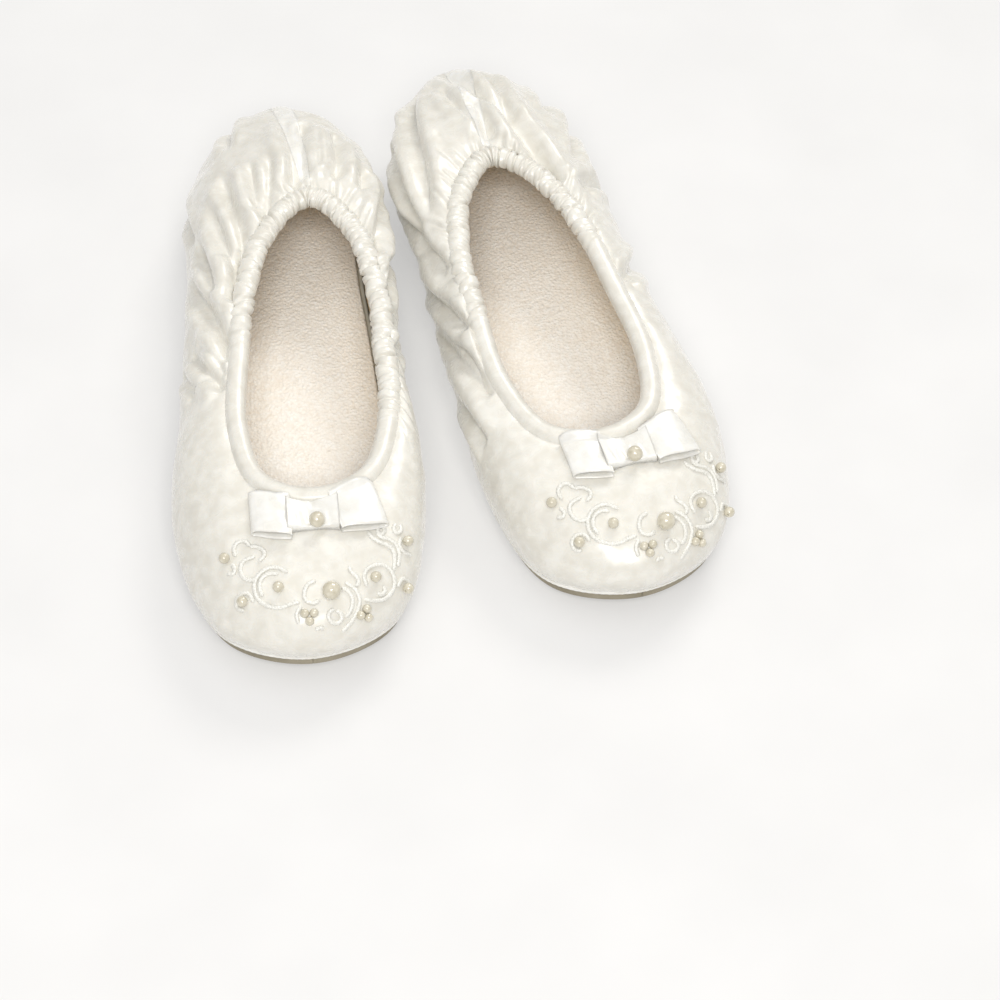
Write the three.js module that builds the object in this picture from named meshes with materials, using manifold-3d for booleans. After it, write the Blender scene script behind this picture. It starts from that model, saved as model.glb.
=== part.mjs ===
// A pair of ballet-style spa slippers: gathered satin uppers on low foam soles,
// an elastic binding round each opening, a ribbon bow and a beaded toe.
// Millimetres, +Z up, heels toward +Y, both soles standing on z = 0.
import * as THREE from 'three';
import { LoftGeometry } from 'three/addons/geometries/LoftGeometry.js';
import { mergeVertices } from 'three/addons/utils/BufferGeometryUtils.js';
import Module from 'manifold-3d';

const wasm = await Module();
wasm.setup();

// Sole
const SOLE_LENGTH = 236;
const SOLE_WIDTH = 76;
const OUTSOLE_THICKNESS = 4;
const OUTSOLE_INSET = 0.6;
const PIPING_RADIUS = 1.1;
const MIDSOLE_THICKNESS = 4.2;
const MIDSOLE_INSET = 3;
const SOCK_THICKNESS = 2.4;
const TOE_SPRING = 6;
const SPRING_SHARE = 0.2;

// Opening, measured on the centre line of its binding
const OPENING_LENGTH = 127.5;
const OPENING_WIDTH = 50;
const OPENING_FORWARD = 9.75;
const THROAT_HEIGHT = 38;
const HEEL_HEIGHT = 48;
const SIDE_DIP = 3;

// Layers of the upper, counted from the outside
const SATIN = 0.8;
const PADDING = 3;
const LINING = 0.8;
const FULLNESS = 6.5;
const END_FULLNESS = 7;

// Topline binding and the elastic it covers
const BINDING_WIDTH = 7;
const BINDING_HEIGHT = 6;
const BINDING_CLOTH = 0.8;
const BINDING_SEAM = 0.7;
const ELASTIC_WIDTH = 3;
const ELASTIC_THICKNESS = 1.4;

// Tape over the seam up the middle of the heel
const TAPE_WIDTH = 5;
const TAPE_LIFT = 0.5;

// Bow
const RIBBON_WIDTH = 16;
const RIBBON_THICKNESS = 0.6;
const BOW_SPAN = 43;
const BOW_WRAP_WIDTH = 17;
const LOOP_HEIGHT = 2.6;
const BOW_PEARL_RADIUS = 2.8;

// Beads and embroidery
const TOE_PEARL_RADIUS = 3;
const SMALL_PEARL_RADIUS = 1.8;
const SEED_RADIUS = 1.3;
const THREAD_RADIUS = 0.7;

// How the pair stands
const PAIR_SPACING = 90;
const PAIR_STAGGER = 7.5;
const TOE_OUT = 5.5;

const GAP = 0.3;

// Facets round the slipper, and how many of them each side the toe padding covers
const ROUND = 32;
const PAD_STATIONS = 5;
const ROWS = 7;
const INNER_START = 0.08;
const LINING_TOP = 0.9;
const TAU = Math.PI * 2;

// Right sole outline from the toe round the inner side to the heel and back,
// as shares of the sole width and of the sole length.
const SOLE_OUTLINE = [
  [0.013, -0.5],
  [0.355, -0.445],
  [0.48, -0.305],
  [0.46, -0.085],
  [0.41, 0.17],
  [0.335, 0.385],
  [-0.01, 0.5],
  [-0.335, 0.385],
  [-0.415, 0.17],
  [-0.48, -0.076],
  [-0.513, -0.297],
  [-0.336, -0.453],
];

// One half of the opening from the throat to the heel, as shares of its size.
const OPENING_HALF = [
  [0, -0.5],
  [0.35, -0.441],
  [0.5, -0.253],
  [0.49, -0.018],
  [0.43, 0.233],
  [0.26, 0.414],
  [0, 0.5],
];

// side: +1 right foot, -1 left foot. lean: how far the opening sits toward the
// inner side of the foot at the throat and at the heel.
const RIGHT = { name: 'right', side: 1, lean: [4, 4] };
const LEFT = { name: 'left', side: -1, lean: [1.5, 1] };

// Small pearls, bead clusters and embroidered scrolls on the toe, given in plan:
// across from the middle line of the sole, and back from the tip of the sole.
const SMALL_PEARLS = [
  [-25, 24],
  [-19.5, 9],
  [-8, 11],
  [22.5, 15.5],
  [30.5, 16],
  [32, 28],
];
const CLUSTERS = [
  [0, 1.5],
  [17.5, 4.5],
];
const TOE_PEARL = [8.2, 9.5];
const SCROLLS = [
  { name: 'sprig_outer', at: [-19, 20], size: [4, 9], from: 0.25, turn: 0.5, curl: 0.7 },
  { name: 'scroll_outer', at: [-8.5, 11], size: [8.5, 6], from: 0.02, turn: 0.85, curl: 0.75 },
  { name: 'flower_arc', at: [8.2, 9.5], size: [8, 7.5], from: 0.52, turn: 0.46, curl: 1 },
  { name: 'scroll_inner', at: [22.5, 15.5], size: [5.5, 5.5], from: 0.35, turn: 0.85, curl: 0.75 },
  { name: 'sprig_inner', at: [25, 29], size: [5, 6.5], from: 0.45, turn: 0.5, curl: 0.7 },
];

const soleTop = OUTSOLE_THICKNESS + GAP + 2 * PIPING_RADIUS;
const wallBase = soleTop + GAP;
const midsoleTop = OUTSOLE_THICKNESS + GAP + MIDSOLE_THICKNESS;
const liningDepth = SATIN + GAP + PADDING + GAP;

// Closed curves of one slipper, with matching stations all the way round.
function makeShoe(foot) {
  const sole = SOLE_OUTLINE.map(([x, y]) => new THREE.Vector3(x * SOLE_WIDTH, y * SOLE_LENGTH, 0));
  const half = OPENING_HALF.map(([x, y]) => [x * OPENING_WIDTH, y * OPENING_LENGTH]);
  const back = half.slice(1, -1).reverse().map(([x, y]) => [-x, y]);
  const opening = [...half, ...back].map(([x, y]) => {
    const along = y / OPENING_LENGTH + 0.5;
    const lean = THREE.MathUtils.lerp(foot.lean[0], foot.lean[1], along);
    return new THREE.Vector3(x + lean, y - OPENING_FORWARD, 0);
  });
  return {
    foot,
    sole: new THREE.CatmullRomCurve3(sole, true),
    opening: new THREE.CatmullRomCurve3(opening, true),
  };
}

// Point and outward level direction at a share u of the way round a curve.
function station(curve, u) {
  const at = ((u % 1) + 1) % 1;
  const point = curve.getPoint(at);
  const tangent = curve.getTangent(at);
  const outward = new THREE.Vector3(tangent.y, -tangent.x, 0).normalize();
  return { point, outward };
}

function toplineHeight(u) {
  const toHeel = (1 - Math.cos(TAU * u)) / 2;
  const dip = SIDE_DIP * Math.sin(TAU * u) ** 2;
  return THREE.MathUtils.lerp(THROAT_HEIGHT, HEEL_HEIGHT, toHeel) - dip;
}

// Toe spring: the front of the slipper curves up off the floor.
function lifted(point) {
  const start = -SOLE_LENGTH * (0.5 - SPRING_SHARE);
  const along = Math.max(0, start - point.y) / (SOLE_LENGTH * SPRING_SHARE);
  point.z += TOE_SPRING * along ** 2;
  return point;
}

// Outside of the satin: u runs round the foot, s from the sole (0) to the topline (1).
function satin(shoe, u, s) {
  const low = station(shoe.sole, u);
  const high = station(shoe.opening, u);
  const top = toplineHeight(u) + SATIN / 2;
  const end = high.point.clone().addScaledVector(high.outward, BINDING_WIDTH / 2 + GAP);
  const span = end.distanceTo(low.point);
  const start = low.point.clone().setZ(wallBase);
  const toHeel = (1 - Math.cos(TAU * u)) / 2;
  const rounding = FULLNESS + 0.1 * span + END_FULLNESS * Math.cos(TAU * u) ** 8;
  const swell = low.point.clone().addScaledVector(low.outward, rounding);
  swell.z = THREE.MathUtils.lerp(wallBase, top, 0.38 + 0.25 * toHeel);
  const toSole = low.point.clone().sub(end).setZ(0).normalize();
  const crest = end.clone().addScaledVector(toSole.lerp(high.outward, 0.4), 0.5 * span);
  crest.z = top + (0.05 + 0.06 * toHeel) * span;
  end.z = top;
  const curve = new THREE.CubicBezierCurve3(start, swell, crest, end);
  return curve.getPoint(s);
}

// Point at a given depth under the outside of the satin (negative: above it).
function wall(shoe, u, s, depth) {
  const step = 0.002;
  const s0 = Math.max(0, s - step);
  const s1 = Math.min(1, s + step);
  const up = satin(shoe, u, s1).sub(satin(shoe, u, s0));
  const round = satin(shoe, u + step, s).sub(satin(shoe, u - step, s));
  const normal = round.cross(up).normalize();
  const point = satin(shoe, u, s).addScaledVector(normal, -depth);
  return { point: lifted(point), normal };
}

// Loft through sections, wound so that its faces look outward.
function loft(sections, options) {
  const geometry = new LoftGeometry(sections, options);
  const position = geometry.getAttribute('position');
  const index = geometry.getIndex();
  const corner = [new THREE.Vector3(), new THREE.Vector3(), new THREE.Vector3()];
  let volume = 0;
  for (let i = 0; i < index.count; i += 3) {
    corner.forEach((c, k) => c.fromBufferAttribute(position, index.getX(i + k)));
    volume += corner[0].dot(corner[1].clone().cross(corner[2]));
  }
  if (volume > 0) return geometry;
  return new LoftGeometry(sections.map((section) => [...section].reverse()), options);
}

const CAPPED = { capStart: true, capEnd: true };

function stations(count, from, to) {
  return Array.from({ length: count + 1 }, (_, i) => from + ((to - from) * i) / count);
}

// The same on the facets of the satin, so that the layers stay parallel.
function facet(shoe, u, s, depth) {
  const row = Math.min(ROWS - 1, Math.floor(s * ROWS));
  const low = wall(shoe, u, row / ROWS, depth).point;
  return low.lerp(wall(shoe, u, (row + 1) / ROWS, depth).point, s * ROWS - row);
}

// Layer of the upper between two depths, from s0 to s1, round the arc u0 to u1.
function layer(shoe, depths, rows, [u0, u1], count) {
  const sections = stations(count, u0, u1).map((u) => {
    const outer = rows.map((s) => facet(shoe, u, s, depths[0]));
    const inner = rows.map((s) => facet(shoe, u, s, depths[1]));
    return [...outer, ...inner.reverse()];
  });
  const whole = Math.abs(u1 - u0 - 1) < 1e-9;
  return loft(sections, whole ? {} : CAPPED);
}

// Slab with the sole outline drawn in by an inset.
function slab(shoe, inset, z0, z1) {
  const ends = 0.012;
  const sections = stations(ROUND / 2, ends, 0.5 - ends).map((u) => {
    const inner = station(shoe.sole, u);
    const outer = station(shoe.sole, 1 - u);
    const a = inner.point.addScaledVector(inner.outward, -inset);
    const b = outer.point.addScaledVector(outer.outward, -inset);
    const edge = Math.min(0.5, (z1 - z0) / 4);
    const middle = a.clone().lerp(b, 0.5);
    const row = (z, d) => [a, middle, b].map((p, i) => {
      const shift = (1 - i) * d;
      return lifted(new THREE.Vector3(p.x - shift, p.y, z));
    });
    return [...row(z0, edge), ...row(z0 + edge, 0).reverse().filter((_, i) => i === 0),
      ...row(z1 - edge, 0).reverse().filter((_, i) => i === 0), ...row(z1, edge).reverse(),
      lifted(new THREE.Vector3(a.x, a.y, z1 - edge)), lifted(new THREE.Vector3(a.x, a.y, z0 + edge))];
  });
  return loft(sections, CAPPED);
}

// Ring with a given section swept round one of the closed curves.
function ring(curve, section, height, count) {
  const sections = stations(count, 0, 1).map((u) => {
    const { point, outward } = station(curve, u);
    return section.map(([across, up]) => {
      const corner = point.clone().addScaledVector(outward, across);
      corner.z = height(u) + up;
      return lifted(corner);
    });
  });
  return loft(sections);
}

function arcPoints(rx, rz, from, to, count) {
  return stations(count, from, to).map((a) => [rx * Math.cos(a), rz * Math.sin(a)]);
}

// Surface place under a plan position on the toe, found by stepping across the wall.
function underfoot(shoe, x, y) {
  let u = 0;
  let s = 0.7;
  const step = 0.001;
  for (let turn = 0; turn < 30; turn += 1) {
    const here = satin(shoe, u, s);
    const du = satin(shoe, u + step, s).sub(here).divideScalar(step);
    const ds = satin(shoe, u, Math.min(1, s + step)).sub(here).divideScalar(step);
    const det = du.x * ds.y - ds.x * du.y;
    const ex = x - here.x;
    const ey = y - here.y;
    const moveU = (ex * ds.y - ds.x * ey) / det;
    const moveS = (du.x * ey - ex * du.y) / det;
    u += THREE.MathUtils.clamp(moveU, -0.05, 0.05);
    s = THREE.MathUtils.clamp(s + THREE.MathUtils.clamp(moveS, -0.15, 0.15), 0.15, 0.98);
  }
  return { u, s };
}

// Surface point and normal over a trim's plan position. The trims face the same
// way on both feet, while the slippers themselves are a mirrored pair.
function trimPlace(shoe, [x, y], above) {
  const place = underfoot(shoe, x * shoe.foot.side, y - SOLE_LENGTH / 2);
  const { point, normal } = wall(shoe, place.u, place.s, -above);
  return { point, normal };
}

function bead(shoe, at, radius, detail) {
  const { point } = trimPlace(shoe, at, radius + GAP);
  return new THREE.IcosahedronGeometry(radius, detail).translate(point.x, point.y, point.z);
}

// Embroidered cord lying on the toe along a turn that tightens as it goes.
function scroll(shoe, { at, size, from, turn, curl }) {
  const count = Math.round(8 + 12 * turn);
  const places = stations(count, 0, 1).map((share) => {
    const angle = TAU * (from + turn * share);
    const reach = THREE.MathUtils.lerp(1, curl, share);
    const x = at[0] + size[0] * reach * Math.cos(angle);
    const y = at[1] + size[1] * reach * Math.sin(angle);
    return trimPlace(shoe, [x, y], THREAD_RADIUS + GAP);
  });
  const sections = places.map(({ point, normal }, i) => {
    const next = places[Math.min(i + 1, count)].point;
    const last = places[Math.max(i - 1, 0)].point;
    const along = next.clone().sub(last).normalize();
    const across = normal.clone().cross(along).normalize();
    const up = along.clone().cross(across);
    const taper = Math.min(1, 0.45 + 0.3 * Math.min(i, count - i));
    return arcPoints(THREAD_RADIUS * taper, THREAD_RADIUS * taper, 0, TAU * 5 / 6, 5).map(([a, b]) =>
      point.clone().addScaledVector(across, a).addScaledVector(up, b));
  });
  return loft(sections, CAPPED);
}

// Cluster of three seed beads sewn close together, as one turned lobe shape.
function cluster(shoe, at) {
  const { point, normal } = trimPlace(shoe, at, GAP);
  const profile = [
    [0.01, 0],
    [SEED_RADIUS * 1.5, SEED_RADIUS * 0.5],
    [SEED_RADIUS * 1.5, SEED_RADIUS * 1.2],
    [0.01, SEED_RADIUS * 1.8],
  ];
  const sections = profile.map(([r, z]) => stations(11, 0, 11 / 12).map((share) => {
    const lobe = r * (1 + 0.28 * Math.cos(3 * TAU * share));
    return new THREE.Vector3(lobe * Math.cos(TAU * share), lobe * Math.sin(TAU * share), z);
  }));
  const geometry = loft(sections, CAPPED);
  const turn = new THREE.Quaternion().setFromUnitVectors(new THREE.Vector3(0, 0, 1), normal);
  return geometry.applyQuaternion(turn).translate(point.x, point.y, point.z);
}

// Bow pieces are made flat round the origin and then laid on the toe.
function bowLoop(hand) {
  const low = GAP + RIBBON_THICKNESS + GAP;
  const r = LOOP_HEIGHT / 2;
  const start = GAP;
  const end = BOW_SPAN / 2 - r;
  const outer = arcPoints(r, r, -Math.PI / 2, Math.PI / 2, 6).map(([x, z]) => [end + x, low + r + z]);
  const ri = r - RIBBON_THICKNESS;
  const inner = arcPoints(ri, ri, Math.PI / 2, -Math.PI / 2, 6).map(([x, z]) => [end + x, low + r + z]);
  const profile = [
    [start, low],
    ...outer,
    [start, low + LOOP_HEIGHT],
    [start, low + LOOP_HEIGHT - RIBBON_THICKNESS],
    ...inner,
    [start, low + RIBBON_THICKNESS],
  ];
  const sections = [-1, 1].map((edge) => profile.map(([x, z]) =>
    new THREE.Vector3(hand * x, edge * RIBBON_WIDTH / 2, z)));
  return loft(sections, CAPPED);
}

function bowWrap() {
  const inside = [RIBBON_WIDTH / 2 + GAP, GAP + RIBBON_THICKNESS, 2 * GAP + RIBBON_THICKNESS + LOOP_HEIGHT + GAP];
  const [y, z0, z1] = inside;
  const t = RIBBON_THICKNESS;
  const outline = (grow) => [[y + grow, z0 - grow], [y + grow, z1 + grow], [-y - grow, z1 + grow], [-y - grow, z0 - grow]];
  const outer = outline(t);
  const inner = outline(0);
  const half = BOW_WRAP_WIDTH / 2;
  const sections = [0, 1, 2, 3, 0].map((k) => [
    new THREE.Vector3(-half, outer[k][0], outer[k][1]),
    new THREE.Vector3(half, outer[k][0], outer[k][1]),
    new THREE.Vector3(half, inner[k][0], inner[k][1]),
    new THREE.Vector3(-half, inner[k][0], inner[k][1]),
  ]);
  return loft(sections);
}

const wrapTop = 3 * GAP + 2 * RIBBON_THICKNESS + LOOP_HEIGHT;

const COLOURS = {
  satin: 0xf4f1ea,
  binding: 0xf6f3ec,
  lining: 0xe9dcc4,
  padding: 0xf2efe6,
  sock: 0xe6dcd0,
  foam: 0xdcd7c8,
  outsole: 0xb9b3a2,
  elastic: 0xf0eee8,
  pearl: 0xe9e3d2,
  thread: 0xdfdcd2,
};

function mesh(name, geometry, colour) {
  const material = new THREE.MeshStandardMaterial({ color: COLOURS[colour], roughness: 0.6 });
  const made = new THREE.Mesh(geometry, material);
  made.name = name;
  return made;
}

// Geometry with one vertex per corner and nothing but positions.
function welded(geometry) {
  const bare = new THREE.BufferGeometry();
  bare.setAttribute('position', geometry.getAttribute('position').clone());
  if (geometry.index) bare.setIndex(geometry.index.clone());
  return mergeVertices(bare);
}

function solid(geometry) {
  const { index, attributes } = welded(geometry);
  return new wasm.Manifold(new wasm.Mesh({
    numProp: 3,
    vertProperties: Float32Array.from(attributes.position.array),
    triVerts: Uint32Array.from(index.array),
  }));
}

// What is left of a piece, in its largest part, once a cutter is taken out of it.
function cutBack(geometry, cutter) {
  const whole = solid(geometry);
  if (whole.intersect(cutter).isEmpty()) return geometry;
  const [left] = whole.subtract(cutter).decompose().sort((a, b) => b.volume() - a.volume());
  const cut = left.getMesh();
  const made = new THREE.BufferGeometry();
  const corners = Array.from({ length: cut.numVert * 3 }, (_, i) =>
    cut.vertProperties[Math.floor(i / 3) * cut.numProp + (i % 3)]);
  made.setAttribute('position', new THREE.Float32BufferAttribute(corners, 3));
  made.setIndex(Array.from(cut.triVerts));
  made.computeVertexNormals();
  return made;
}

function slipper(foot) {
  const shoe = makeShoe(foot);
  const group = new THREE.Group();
  const add = (name, geometry, colour) => group.add(mesh(`${foot.name}_${name}`, geometry, colour));
  const flat = () => soleTop - PIPING_RADIUS;

  add('outsole', slab(shoe, OUTSOLE_INSET, 0, OUTSOLE_THICKNESS), 'outsole');
  add('midsole', slab(shoe, MIDSOLE_INSET, OUTSOLE_THICKNESS + GAP, midsoleTop), 'foam');
  const sockInset = liningDepth + LINING - SATIN / 2;
  add('sock', slab(shoe, sockInset, midsoleTop + GAP, midsoleTop + GAP + SOCK_THICKNESS), 'sock');
  const cord = arcPoints(PIPING_RADIUS, PIPING_RADIUS, 0, TAU * 5 / 6, 5);
  add('sole_piping', ring(shoe.sole, cord, flat, ROUND), 'binding');

  const mouth = BINDING_SEAM / BINDING_HEIGHT;
  const [a0, a1] = [mouth - Math.PI / 2, 1.5 * Math.PI - mouth];
  const clear = (gap) => {
    const room = arcPoints(BINDING_WIDTH / 2 + gap, BINDING_HEIGHT / 2 + gap, a0, a1, 7);
    return solid(ring(shoe.opening, room, toplineHeight, ROUND));
  };
  const rows = stations(ROWS, 0, 1);
  const skin = layer(shoe, [0, SATIN], rows, [0, 1], ROUND);
  add('satin_upper', cutBack(skin, clear(GAP / 2)), 'satin');
  const padDepths = [SATIN + GAP, SATIN + GAP + PADDING];
  const padArc = [-PAD_STATIONS / ROUND, PAD_STATIONS / ROUND];
  const innerRows = [INNER_START, ...rows.slice(1, ROWS)];
  const wadding = layer(shoe, padDepths, innerRows, padArc, 2 * PAD_STATIONS);
  add('toe_padding', cutBack(wadding, clear(GAP / 2)), 'padding');
  const liningDepths = [liningDepth, liningDepth + LINING];
  const inside = layer(shoe, liningDepths, [...innerRows, LINING_TOP], [0, 1], ROUND);
  add('lining', cutBack(inside, clear(GAP / 2)), 'lining');

  const roll = arcPoints(BINDING_WIDTH / 2, BINDING_HEIGHT / 2, a0, a1, 7);
  const hollow = [BINDING_WIDTH / 2 - BINDING_CLOTH, BINDING_HEIGHT / 2 - BINDING_CLOTH];
  const channel = arcPoints(hollow[0], hollow[1], a1, a0, 5);
  add('topline_binding', ring(shoe.opening, [...roll, ...channel], toplineHeight, ROUND), 'binding');
  const [ex, ez] = [ELASTIC_THICKNESS / 2, ELASTIC_WIDTH / 2];
  const band = [[ex, -ez], [ex, ez], [-ex, ez], [-ex, -ez]];
  add('topline_elastic', ring(shoe.opening, band, toplineHeight, ROUND), 'elastic');

  const tapeArc = TAPE_WIDTH / 2 / shoe.sole.getLength();
  const tapeRows = [0.04, ...rows.slice(1, ROWS), 0.92];
  const tapeDepths = [-TAPE_LIFT - RIBBON_THICKNESS, -TAPE_LIFT];
  add('heel_seam_tape', layer(shoe, tapeDepths, tapeRows, [0.5 - tapeArc, 0.5 + tapeArc], 1), 'binding');

  const throat = shoe.opening.getPoint(0);
  const bowAhead = BINDING_WIDTH / 2 + RIBBON_WIDTH / 2 + RIBBON_THICKNESS + 1;
  const bowAt = [throat.x * foot.side, throat.y - bowAhead + SOLE_LENGTH / 2];
  const seat = trimPlace(shoe, bowAt, GAP);
  const turn = new THREE.Quaternion().setFromUnitVectors(new THREE.Vector3(0, 0, 1), seat.normal);
  const lay = (geometry) => geometry.applyQuaternion(turn).translate(...seat.point.toArray());
  add('bow_loop_a', lay(bowLoop(-1)), 'satin');
  add('bow_loop_b', lay(bowLoop(1)), 'satin');
  add('bow_wrap', lay(bowWrap()), 'satin');
  const pearl = new THREE.IcosahedronGeometry(BOW_PEARL_RADIUS, 3);
  add('bow_pearl', lay(pearl.translate(0, -2.5, wrapTop + GAP + BOW_PEARL_RADIUS)), 'pearl');

  add('toe_pearl', bead(shoe, TOE_PEARL, TOE_PEARL_RADIUS, 3), 'pearl');
  SMALL_PEARLS.forEach((at, i) => add(`small_pearl_${i + 1}`, bead(shoe, at, SMALL_PEARL_RADIUS, 1), 'pearl'));
  CLUSTERS.forEach((at, i) => add(`seed_cluster_${i + 1}`, cluster(shoe, at), 'pearl'));
  SCROLLS.forEach((entry) => add(entry.name, scroll(shoe, entry), 'thread'));
  return group;
}

// A left foot is the right foot's shape mirrored, so every face is turned over too.
function mirrored(group) {
  group.children.forEach((made) => {
    const geometry = welded(made.geometry).scale(-1, 1, 1);
    geometry.index.array.forEach((_, i, list) => {
      if (i % 3 === 0) [list[i], list[i + 1]] = [list[i + 1], list[i]];
    });
    geometry.computeVertexNormals();
    made.geometry = geometry;
  });
  return group;
}

const right = slipper(RIGHT);
right.rotation.z = THREE.MathUtils.degToRad(-TOE_OUT);
right.position.set(-PAIR_SPACING / 2, -PAIR_STAGGER / 2, 0);
const left = mirrored(slipper(LEFT));
left.rotation.z = THREE.MathUtils.degToRad(TOE_OUT);
left.position.set(PAIR_SPACING / 2, PAIR_STAGGER / 2, 0);

const pair = new THREE.Group();
pair.name = 'spa_slippers';
pair.add(right, left);

// The origin is the middle of the pair's own box, on the floor.
pair.updateMatrixWorld(true);
const box = new THREE.Box3().setFromObject(pair, true);
const middle = box.getCenter(new THREE.Vector3());
[right, left].forEach((one) => one.position.sub(new THREE.Vector3(middle.x, middle.y, box.min.z)));

export default pair;
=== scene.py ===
import math
import bpy
import numpy as np
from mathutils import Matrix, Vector
from mathutils.kdtree import KDTree


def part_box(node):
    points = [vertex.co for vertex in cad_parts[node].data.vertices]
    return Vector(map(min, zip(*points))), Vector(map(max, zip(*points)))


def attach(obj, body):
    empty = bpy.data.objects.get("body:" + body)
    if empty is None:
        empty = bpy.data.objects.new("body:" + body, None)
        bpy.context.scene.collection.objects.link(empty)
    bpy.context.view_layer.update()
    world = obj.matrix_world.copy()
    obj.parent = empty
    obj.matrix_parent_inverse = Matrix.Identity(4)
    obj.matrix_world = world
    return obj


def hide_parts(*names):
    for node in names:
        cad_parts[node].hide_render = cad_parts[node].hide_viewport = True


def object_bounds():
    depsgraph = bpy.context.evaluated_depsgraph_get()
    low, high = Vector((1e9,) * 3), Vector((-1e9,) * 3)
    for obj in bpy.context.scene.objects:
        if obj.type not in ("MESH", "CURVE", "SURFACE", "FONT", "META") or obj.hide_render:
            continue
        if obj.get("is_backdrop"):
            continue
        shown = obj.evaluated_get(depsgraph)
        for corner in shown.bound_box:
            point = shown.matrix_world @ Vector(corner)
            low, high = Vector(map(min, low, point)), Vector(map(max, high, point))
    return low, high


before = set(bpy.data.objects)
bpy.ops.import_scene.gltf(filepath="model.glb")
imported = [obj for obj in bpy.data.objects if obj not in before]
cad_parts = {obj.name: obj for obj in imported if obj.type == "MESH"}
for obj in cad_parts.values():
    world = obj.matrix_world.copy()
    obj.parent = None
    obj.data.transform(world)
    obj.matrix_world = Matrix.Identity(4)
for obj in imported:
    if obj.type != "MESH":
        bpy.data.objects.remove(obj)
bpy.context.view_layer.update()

# ---------------------------------------------------------------- sizes, in millimetres
MM = 0.001
SOLE_LENGTH, SOLE_WIDTH = 236.0, 76.0
OUTSOLE_THICKNESS, OUTSOLE_INSET = 4.0, 0.6
MIDSOLE_THICKNESS, MIDSOLE_INSET = 4.2, 3.0
SOCK_THICKNESS = 2.4
PIPING_RADIUS = 1.1
TOE_SPRING, SPRING_SHARE = 6.0, 0.2
OPENING_LENGTH, OPENING_WIDTH, OPENING_FORWARD = 127.5, 50.0, 9.75
THROAT_HEIGHT, HEEL_HEIGHT, SIDE_DIP = 38.0, 48.0, 3.0
SATIN, PADDING, LINING = 0.8, 3.0, 0.8
FULLNESS, END_FULLNESS = 6.5, 7.0
BINDING_WIDTH, BINDING_HEIGHT = 7.0, 6.0
GAP = 0.3
TAU = 2 * math.pi
SOLE_TOP = OUTSOLE_THICKNESS + GAP + 2 * PIPING_RADIUS
WALL_BASE = SOLE_TOP + GAP
HEM_HEIGHT = SOLE_TOP - PIPING_RADIUS
SEAM_TUCK = 0.7
MIDSOLE_TOP = OUTSOLE_THICKNESS + GAP + MIDSOLE_THICKNESS
LINING_DEPTH = SATIN + GAP + PADDING + GAP

# Right sole from the toe round the inner side, as shares of its width and length.
SOLE_OUTLINE = [(0.013, -0.5), (0.355, -0.445), (0.48, -0.305), (0.46, -0.085), (0.41, 0.17),
                (0.335, 0.385), (-0.01, 0.5), (-0.335, 0.385), (-0.415, 0.17), (-0.48, -0.076),
                (-0.513, -0.297), (-0.336, -0.453)]
OPENING_HALF = [(0, -0.5), (0.35, -0.441), (0.5, -0.253), (0.49, -0.018), (0.43, 0.233),
                (0.26, 0.414), (0, 0.5)]

# side is +1 on the right foot. lean is how far the opening sits toward the inner side at
# the throat and at the heel. smooth is the stretch of binding, in shares of the way
# round, that isn't ruched.
FEET = {
    "right": {"side": 1, "lean": (5.0, 10.0), "turn": -5.5, "smooth": (-0.31, 0.20), "seed": 3},
    "left": {"side": -1, "lean": (1.5, 4.0), "turn": 5.5, "smooth": (-0.345, 0.285), "seed": 8},
}

AROUND, UP = 640, 72

# Shares of the way round, either side of the toe and of the heel, that the wadding and the
# heel tape take up.
PADDED_SHARE, TAPE_SHARE = 0.158, 0.0054


# ---------------------------------------------------------------- curves and the upper's shape
def loop_curve(points, u):
    """Centripetal spline through a ring of points, at shares u of the way round."""
    pts = np.asarray(points, float)
    n = len(pts)
    at = np.mod(u, 1.0) * n
    i = np.floor(at).astype(int)
    t = (at - i)[:, None]
    p0, p1, p2, p3 = (pts[(i + k) % n] for k in (-1, 0, 1, 2))
    d0, d1, d2 = (np.linalg.norm(b - a, axis=1)[:, None] ** 0.5 for a, b in ((p0, p1), (p1, p2), (p2, p3)))
    m1 = ((p1 - p0) / d0 - (p2 - p0) / (d0 + d1) + (p2 - p1) / d1) * d1
    m2 = ((p2 - p1) / d1 - (p3 - p1) / (d1 + d2) + (p3 - p2) / d2) * d1
    return p1 + m1 * t + (3 * (p2 - p1) - 2 * m1 - m2) * t ** 2 + (2 * (p1 - p2) + m1 + m2) * t ** 3


def smooth_ring(values, reach):
    """Values round a ring, evened out over a share of the ring."""
    f = np.fft.fftfreq(len(values), 1 / len(values))
    keep = np.exp(-0.5 * (TAU * f * reach) ** 2)
    return np.real(np.fft.ifft(np.fft.fft(values, axis=0) * keep[:, None], axis=0))


def ring_table(points):
    """Dense evened ring with its outward level directions."""
    line = smooth_ring(loop_curve(points, np.arange(1440) / 1440), 0.006)
    along = np.roll(line, -1, 0) - np.roll(line, 1, 0)
    out = np.c_[along[:, 1], -along[:, 0]]
    return line, out / np.linalg.norm(out, axis=1)[:, None]


def at_ring(table, u):
    """Points and outward directions of a ring table at shares u."""
    x = np.mod(u, 1.0) * len(table[0])
    i = np.floor(x).astype(int) % len(table[0])
    t = (x - np.floor(x))[..., None]
    return tuple(a[i] * (1 - t) + a[(i + 1) % len(a)] * t for a in table)


def topline_height(u):
    to_heel = (1 - np.cos(TAU * u)) / 2
    return THROAT_HEIGHT + (HEEL_HEIGHT - THROAT_HEIGHT) * to_heel - SIDE_DIP * np.sin(TAU * u) ** 2


def toe_lift(p):
    """Toe spring: the front of the slipper curves up off the floor."""
    start = -SOLE_LENGTH * (0.5 - SPRING_SHARE)
    along = np.maximum(0, start - p[..., 1]) / (SOLE_LENGTH * SPRING_SHARE)
    p[..., 2] += TOE_SPRING * along ** 2
    return p


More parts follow.
